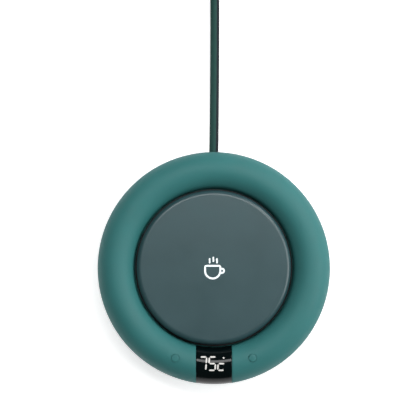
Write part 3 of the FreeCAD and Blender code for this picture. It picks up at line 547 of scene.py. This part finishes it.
def fill_key_hole(bm, points, centre, top, under):
    """Close the patches round one key hole with a rounded lip, a bore and the guide below."""

    def ring(loop, radius, height, share=1.0):
        """A ring this share of the way from a loop to a circle round the hole."""
        made = []
        for vert in loop:
            spoke = vert.co.xy - centre
            reach = radius + (spoke.length - radius) * (1 - share)
            spot = centre + spoke.normalized() * reach
            made.append(points.at(spot.x, spot.y, height(spot.x, spot.y)))
        return made

    outside = [top]
    outside += [ring(top, key_hole_r + key_lip, on_rim, share) for share in key_patch_shares]
    for degrees in key_lip_turns:
        turn = math.radians(degrees)
        drop = key_lip * (1 - math.cos(turn))
        outside.append(ring(top, key_hole_r + key_lip * (1 - math.sin(turn)),
                            lambda x, y: on_rim(x, y) - drop))
    inside = [under]
    inside += [ring(under, key_guide_r, lambda x, y: on_rim(x, y, -wall), share)
               for share in key_under_shares]
    inside += [ring(under, radius, lambda x, y: key_guide_z)
               for radius in (key_guide_r, key_hole_r)]
    add_faces(bm, outside)
    add_faces(bm, inside)
    # The bore joins the lip's last ring to the guide's
    open_edges = [edge for vert in outside[-1] + inside[-1] for edge in vert.link_edges
                  if len(edge.link_faces) == 1]
    bmesh.ops.bridge_loops(bm, edges=list(dict.fromkeys(open_edges)))


def make_rim():
    bm = bmesh.new()
    points = Points(bm)
    columns = rim_columns()
    count = len(columns)
    edge_x = slot_half + slot_lip[0][0] * mm
    inner_r = rim_r - wall

    def row(section_at):
        """One row. section_at gives its radius and height for a column's share of the depth."""
        verts = []
        for x, share, depth in columns:
            r, z = section_at(depth)
            if x is None:
                start = math.asin(edge_x / r)
                angle = math.copysign(start + abs(share) * (math.pi - start), share)
            else:
                angle = math.asin(x / r)
            verts.append(points.at(r * math.sin(angle), -r * math.cos(angle), z))
        return verts

    def skin_row(degrees, sink):
        """A row of the outside, sunk in the slot by no more than this share of its depth."""
        turn = math.radians(degrees)

        def section_at(depth):
            radius = rim_r - min(sink, depth) * slot_depth
            return rim_mid_r + radius * math.cos(turn), seam_z + radius * math.sin(turn)

        return row(section_at)

    def plain_row(r, z):
        return row(lambda depth: (r, z))

    # Outside, from the seam over the crown and down to the well
    slot_ends = [(slot_end - math.degrees(out * mm / rim_r) * slot_end_share,
                  down * mm / slot_depth) for out, down in slot_lip]
    rows = [plain_row(outer_r - seam_chamfer, seam_z)]
    rows += [skin_row(degrees, sink) for degrees, sink in slot_ends]
    outer_start = len(rows)
    rows += [skin_row(float(degrees), 1.0)
             for degrees in range(first_row, 181 - first_row, row_turn)]
    rows += [skin_row(180.0 - degrees, sink) for degrees, sink in slot_ends[::-1]]
    rows.append(skin_row(180.0, 0.0))

    # The well, the ledge under the plate, and the inside back to the seam
    rows += [plain_row(r, z) for r, z in (
        (hole_r, ledge_top_z + ledge_round), (hole_r - ledge_round, ledge_top_z),
        (ledge_inner_r + ledge_round, ledge_top_z), (ledge_inner_r, ledge_top_z - ledge_round),
        (ledge_inner_r, ledge_low_z), (hole_r + wall, ledge_low_z))]
    low_turn = 180 + math.degrees(math.asin((seam_z - ledge_low_z) / inner_r))
    rows += [plain_row(r, z) for r, z in arc(rim_mid_r, seam_z, inner_r, low_turn,
                                             inner_wall_end, inner_wall_steps)]
    inner_start = len(rows)
    rows += [plain_row(r, z)
             for r, z in arc(rim_mid_r, seam_z, inner_r, 180.0, 0.0, 180 // row_turn)]

    def outer_row(degrees):
        return outer_start + (degrees - first_row) // row_turn

    def inner_row(degrees):
        return inner_start + (180 - degrees) // row_turn

    # The display opening and a patch round each key hole stay open in the grid
    holes = []
    across = range(-opening_reach, opening_reach + 1)
    outer_span = [outer_row(degrees) for degrees in display_opening]
    inner_span = [inner_row(degrees) for degrees in display_opening]
    holes.append((across, *outer_span))
    holes.append((across, *inner_span))
    keys = []
    for side in (1, -1):
        centre = Vector((side * key_x, key_y))
        crown_points = rows[outer_row(crown)]
        nearest = min(range(count), key=lambda step: (crown_points[step].co.xy - centre).length)
        across = range(nearest - key_patch_reach, nearest + key_patch_reach + 1)
        spans = [(across, middle - key_patch_reach, middle + key_patch_reach)
                 for middle in (outer_row(crown), inner_row(crown))]
        holes += spans
        keys.append((centre, spans))

    def left_open(index, step):
        return any(min(first, last) <= index < max(first, last)
                   and (step in across[:-1] or step - count in across[:-1])
                   for across, first, last in holes)

    add_faces(bm, rows, skip=left_open, wrap=True)
    add_faces(bm, [grid_border(rows, *hole) for hole in holes[:2]])
    for centre, spans in keys:
        fill_key_hole(bm, points, centre, *(grid_border(rows, *span) for span in spans))
    make_piece("rim_ring", bm, looks["soft_touch_teal"], "housing", "soft_touch_teal", "top_ring")


make_rim()

# The strap round the coil: a woven band, turned round four corners
tie_round_r = 1.8 * mm
tie_outer_edge = 0.25 * mm
tie_inner_edge = 0.2 * mm
tie_corner_steps = 8


def make_tie():
    bm = bmesh.new()
    points = Points(bm)
    inner_r = tie_round_r - tie_thick
    section = (
        (tie_round_r, tie_low.y + tie_outer_edge), (tie_round_r, tie_high.y - tie_outer_edge),
        (tie_round_r - tie_outer_edge, tie_high.y), (inner_r + tie_inner_edge, tie_high.y),
        (inner_r, tie_high.y - tie_inner_edge), (inner_r, tie_low.y + tie_inner_edge),
        (inner_r + tie_inner_edge, tie_low.y), (tie_round_r - tie_outer_edge, tie_low.y))
    left = tie_low.x + tie_round_r
    right = tie_high.x - tie_round_r
    low = tie_low.z + tie_round_r
    high = tie_high.z - tie_round_r
    rings = []
    for x, z, start in ((right, low, -90.0), (right, high, 0.0), (left, high, 90.0),
                        (left, low, 180.0)):
        for step in range(tie_corner_steps + 1):
            turn = math.radians(start + 90.0 * step / tie_corner_steps)
            rings.append([points.at(x + radius * math.cos(turn), y, z + radius * math.sin(turn))
                          for radius, y in section])
    add_faces(bm, rings, wrap=True)
    return make_piece("tie_strap", bm, looks["tie_black"], "housing", "tie_black", "cord_tie")


# Cord: one spline through the lead, the coil and the tail
cord_order = 3
cord_resolution = 6


def coil_point(turn):
    """A point of the coil, which winds in on the floor and out again one layer up."""
    half = math.pi / 2 * coil_quarters / 2
    step = math.pi / 2 / coil_steps_per_quarter
    start = lead_points[-1]
    radius = coil_outer_r - coil_pitch * (half - abs(half - turn)) / (2 * math.pi)
    radius /= math.cos(step / 2)
    climb = min(1.0, max(0.0, (turn - half + math.pi / 2) / math.pi))
    return (start[0] - coil_outer_r + radius * math.cos(turn),
            start[1] + cord_dia + radius * math.sin(turn),
            start[2] + coil_layer_pitch * climb * climb * (3 - 2 * climb))


def make_cord():
    points = list(lead_points)
    for index in range(coil_quarters * coil_steps_per_quarter):
        points.append(coil_point((index + 0.5) * math.pi / 2 / coil_steps_per_quarter))
    points.extend(tail_points)
    curve = bpy.data.curves.new("mains_cord", "CURVE")
    curve.dimensions = "3D"
    spline = curve.splines.new("NURBS")
    spline.points.add(len(points) - 1)
    for spot, point in zip(spline.points, points):
        spot.co = point + (1,)
    spline.order_u = cord_order
    spline.use_endpoint_u = True
    spline.resolution_u = cord_resolution
    curve.bevel_depth = cord_dia / 2
    curve.bevel_resolution = cord_resolution
    cord = add_object("mains_cord", curve)
    curve.materials.append(cord_jacket())
    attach(cord, "housing")
    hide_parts("cord_lead", "cord_coil", "cord_tail")
    make_tie()


make_cord()

# The window: a black acrylic band that follows the rim, with a rounded edge of points
# (in from the side, down) in mm
window_edge = ((0.22, 0.0), (0.13, 0.02), (0.06, 0.07), (0.02, 0.14), (0.0, 0.22))
window_face_x = (-7.5, -5.0, -2.5, 0.0, 2.5, 5.0, 7.5)
window_end = slot_end + 0.3
window_rows = range(8, 173, 3)


def make_window():
    bm = bmesh.new()
    points = Points(bm)
    low_r = rim_r - window_thick
    shoulder = [(window_half - out * mm, window_thick - down * mm) for out, down in window_edge]
    columns = [(-window_half, 0.0)] + [(-x, height) for x, height in shoulder[::-1]]
    columns += [(x * mm, window_thick) for x in window_face_x]
    columns += shoulder + [(window_half, 0.0)]
    ends = [(window_end + math.degrees(out * mm / rim_r), down * mm)
            for out, down in window_edge[::-1]]
    rows = []
    for degrees, drop in (ends + [(float(degrees), 0.0) for degrees in window_rows]
                          + [(180.0 - degrees, drop) for degrees, drop in ends[::-1]]):
        turn = math.radians(degrees)
        row = []
        for x, height in columns:
            level = low_r + (height - drop if height else 0.0)
            r = rim_mid_r + level * math.cos(turn)
            row.append(points.at(x, -math.sqrt(r * r - x * x), seam_z + level * math.sin(turn)))
        rows.append(row)
    add_faces(bm, rows)
    cap_ends(bm, rows)
    make_piece("window_band", bm, looks["window_black"], "housing", "window_black",
               "display_window")


make_window()

# Lit digits: bars that lie on the window. A segment's ends are in half widths and half heights.
print_lift = 0.02 * mm
digit_width = 3.46 * mm
digit_height = 7.0 * mm
digit_slant = math.tan(math.radians(4.5))
digit_pitch = 4.9 * mm
digits_middle = (-0.9 * mm, -51.35 * mm)
segment_half = 0.41 * mm
segment_gap = 0.28 * mm
segment_steps = 8
degree_dot_across = 0.5
degree_dot_half = 0.52 * mm
degree_dot_drop = 0.5 * mm
degree_dot_steps = 3
segments = {
    "a": ((-1, 1), (1, 1)), "b": ((1, 1), (1, 0)), "c": ((1, 0), (1, -1)),
    "d": ((-1, -1), (1, -1)), "e": ((-1, 0), (-1, -1)), "f": ((-1, 1), (-1, 0)),
    "g": ((-1, 0), (1, 0)),
}
digits = (("digit_tens", "abc"), ("digit_units", "afgcd"), ("sign_degrees", "ged"))
# A bar's section: offset in half widths, and height over the rim in thicknesses
bar_section = ((-1, 1 / 3), (-0.5, 1), (0.5, 1), (1, 1 / 3), (1, -1), (-1, -1))
bar_tip_share = 0.25


def lay_bar(bm, points, start, end, half, steps):
    """A flat bar from start to end with pointed ends, laid on the rim."""
    length = (end - start).length
    along = (end - start).normalized()
    side = Vector((-along.y, along.x))
    tip = half / length
    shares = [0.0, tip] + [tip + (1 - 2 * tip) * step / steps for step in range(1, steps)]
    rings = []
    for share in shares + [1 - tip, 1.0]:
        near_end = min(share, 1 - share) * length
        width = half * (bar_tip_share + (1 - bar_tip_share) * min(1.0, near_end / half))
        middle = start + along * (share * length)
        ring = []
        for offset, lift in bar_section:
            spot = middle + side * (offset * width)
            ring.append(points.at(spot.x, spot.y, on_rim(spot.x, spot.y) + lift * print_lift))
        rings.append(ring)
    add_faces(bm, rings)
    cap_ends(bm, rings)


def make_digits():
    for order, (name, lit) in enumerate(digits):
        bm = bmesh.new()
        points = Points(bm)
        middle_x = digits_middle[0] + (order - 1) * digit_pitch

        def spot_at(across, up, drop=0.0):
            y = up * digit_height / 2
            return Vector((middle_x + across * digit_width / 2 + y * digit_slant,
                           digits_middle[1] + y - drop))

        for letter in lit:
            start, end = (spot_at(*corner) for corner in segments[letter])
            inset = (end - start).normalized() * segment_gap
            lay_bar(bm, points, start + inset, end - inset, segment_half, segment_steps)
        if name == "sign_degrees":
            dot = spot_at(degree_dot_across, 1, degree_dot_drop)
            step = Vector((degree_dot_half, 0))
            lay_bar(bm, points, dot - step, dot + step, degree_dot_half, degree_dot_steps)
        make_piece(name, bm, digits_lit, "housing", "window_black")


make_digits()

# The plate: a turned cap with a soft edge. Its lower edge is (in from the side, up) in mm.
plate_skirt = 5.0 * mm
plate_flat_end = 0.4 * mm
plate_foot = ((0.0, 0.25), (0.08, 0.08), (0.25, 0.0))
plate_foot_inside = 0.15 * mm
plate_steps = 240
plate_round_steps = 12
plate_inside_steps = 6


def make_plate():
    corner_r = plate_r - plate_round
    corner_z = plate_top - plate_round
    foot_z = plate_top - plate_skirt
    inner_r = plate_r - plate_thick
    profile = [(0.0, plate_top), (corner_r / 2, plate_top),
               (corner_r - plate_flat_end, plate_top)]
    profile += arc(corner_r, corner_z, plate_round, 90.0, 0.0, plate_round_steps)
    profile += [(plate_r - inward * mm, foot_z + up * mm) for inward, up in plate_foot]
    profile += [(inner_r + plate_foot_inside, foot_z), (inner_r, foot_z + plate_foot_inside)]
    profile += arc(corner_r, corner_z, plate_round - plate_thick, 0.0, 90.0,
                   plate_inside_steps)
    profile += [(0.0, plate_top - plate_thick)]
    lathe("warming_plate", profile, plate_steps, looks["plate_coating"], "housing",
          "plate_coating", "heating_plate")


make_plate()

# The cup printed on the plate, in ink with a painted glow
cup_line_half = 0.5 * mm
cup_middle_x = -0.61 * mm
cup_rim_y = 0.6 * mm
cup_bowl_r = 4.06 * mm
cup_straight = 2.7 * mm
cup_corner_r = 0.7 * mm
handle_points = ((3.95 * mm, -0.95 * mm), (4.3 * mm, -0.95 * mm))
handle_end = (3.75 * mm, -3.19 * mm)
handle_middle = (4.3 * mm, -2.07 * mm)
handle_radii = (1.1 * mm, 1.12 * mm)
round_end_turns = (75.0, 50.0, 25.0)
steam_line_half = 0.43 * mm
steam_sway = 0.06
steam_steps = 12
# Each stroke of steam: its x, low end and high end in mm
steam_strokes = ((-2.24, 2.31, 4.29), (-0.27, 3.06, 5.04), (1.65, 2.31, 4.29))


def round_end(tip, before, half, sign):
    """Pairs of points across a printed line's round end, from its tip inward."""
    along = (tip - before).normalized()
    side = Vector((-along.y, along.x)) * sign
    pairs = []
    for degrees in round_end_turns:
        turn = math.radians(degrees)
        middle = tip + along * half * math.sin(turn)
        reach = side * (half * math.cos(turn))
        pairs.append((middle + reach, middle - reach))
    return pairs


def make_print(name, path, half, closed=False):
    """A printed line of even width along a smooth path on the plate, with round ends, in the cup's
    ink with its painted glow.
    """
    bm = bmesh.new()
    points = Points(bm)
    count = len(path)
    pairs = []
    for index, spot in enumerate(path):
        before = path[index - 1] if index or closed else spot
        after = path[(index + 1) % count] if index < count - 1 or closed else spot
        along = (after - before).normalized()
        side = Vector((-along.y, along.x)) * half
        pairs.append((spot + side, spot - side))
    if not closed:
        pairs = (round_end(path[0], path[1], half, -1) + pairs
                 + round_end(path[-1], path[-2], half, 1)[::-1])
    low = plate_top - print_lift
    high = plate_top + print_lift
    loops = [[points.at(spot.x, spot.y, z)
              for spot, z in ((first, low), (first, high), (second, high), (second, low))]
             for first, second in pairs]
    add_faces(bm, loops, wrap=closed)
    if not closed:
        cap_ends(bm, loops)
    make_piece(name, bm, cup_ink_painted_glow, "housing", "plate_coating")


def make_cup():
    bowl = []
    for degrees in range(180, 361, 6):
        turn = math.radians(degrees)
        bowl.append(Vector((cup_middle_x + cup_bowl_r * math.cos(turn),
                            cup_rim_y - cup_straight + cup_bowl_r * math.sin(turn))))
    for side, corner_turns in ((1, (0, 30, 60, 90)), (-1, (90, 60, 30, 0))):
        corner = Vector((cup_middle_x + side * cup_bowl_r, cup_rim_y))
        for degrees in corner_turns:
            turn = math.radians(degrees)
            inward = Vector((side * (math.cos(turn) - 1), math.sin(turn) - 1))
            bowl.append(corner + inward * cup_corner_r)
    make_print("cup_print", bowl, cup_line_half, closed=True)

    handle = [Vector(spot) for spot in handle_points]
    for degrees in range(75, -91, -15):
        turn = math.radians(degrees)
        handle.append(Vector((handle_middle[0] + handle_radii[0] * math.cos(turn),
                              handle_middle[1] + handle_radii[1] * math.sin(turn))))
    handle.append(Vector(handle_end))
    make_print("cup_handle_print", handle, cup_line_half)

    for order, (x, low, high) in enumerate(steam_strokes):
        path = []
        for step in range(steam_steps + 1):
            share = step / steam_steps
            path.append(Vector((x + steam_sway * math.sin(2 * math.pi * share),
                                low + (high - low) * share)) * mm)
        make_print("steam_print_%d" % (order + 1), path, steam_line_half)


make_cup()

# Push keys: turned caps on a flange. The crown's profile is (radius, drop from the top) in mm.
key_crown = ((0.8, 0.01), (1.4, 0.05), (1.75, 0.11), (1.93, 0.17), (2.03, 0.23), (2.08, 0.30),
             (2.1, 0.38))
key_steps = 48


def make_key(name, side, body, node):
    foot_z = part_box(node)[0].z
    profile = [(0.0, key_top)]
    profile += [(radius * mm, key_top - drop * mm) for radius, drop in key_crown]
    profile += [(key_r, key_flange_top), (key_flange_r, key_flange_top),
                (key_flange_r, key_flange_low), (key_foot_r, key_flange_low),
                (key_foot_r, foot_z), (0.0, foot_z)]
    lathe(name, profile, key_steps, looks["soft_touch_teal"], body, "soft_touch_teal", node,
          centre=(side * key_x, key_y))


make_key("key_cap_left", -1, "left_key", "key_left")
make_key("key_cap_right", 1, "right_key", "key_right")

# The plug's strain relief: ribs round its cone
rib_count = 5
rib_start = 1.3 * mm
rib_pitch = 2.0 * mm
rib_height = 0.45 * mm
rib_half_width = 0.6 * mm
rib_steps = 48
relief_end_r = 3.5 * mm
relief_slope = 2.0 / 12.0


def make_relief_ribs():
    bm = bmesh.new()
    points = Points(bm)
    plug_low, plug_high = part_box("plug_body")
    middle = (plug_low + plug_high) / 2
    for order in range(rib_count):
        along = rib_start + rib_pitch * order
        cone_r = relief_end_r + along * relief_slope
        rings = []
        for degrees in range(0, 360, 30):
            turn = math.radians(degrees)
            radius = cone_r + rib_height * math.sin(turn)
            y = plug_low.y + along + rib_half_width * math.cos(turn)
            around = [2 * math.pi * step / rib_steps for step in range(rib_steps)]
            rings.append([points.at(middle.x + radius * math.cos(angle), y,
                                    middle.z + radius * math.sin(angle)) for angle in around])
        add_faces(bm, rings, wrap=True)
    make_piece("relief_ribs", bm, looks["cord_green"], "housing", "cord_green")


make_relief_ribs()

# Every CAD part that stays gets the finish of its own material
for part in frame["record"]["subparts"]:
    node = frame["nodes"][part["node"]]
    node.data.materials.clear()
    node.data.materials.append(looks[part["material_slot"]])

scene.view_settings.view_transform = "Standard"
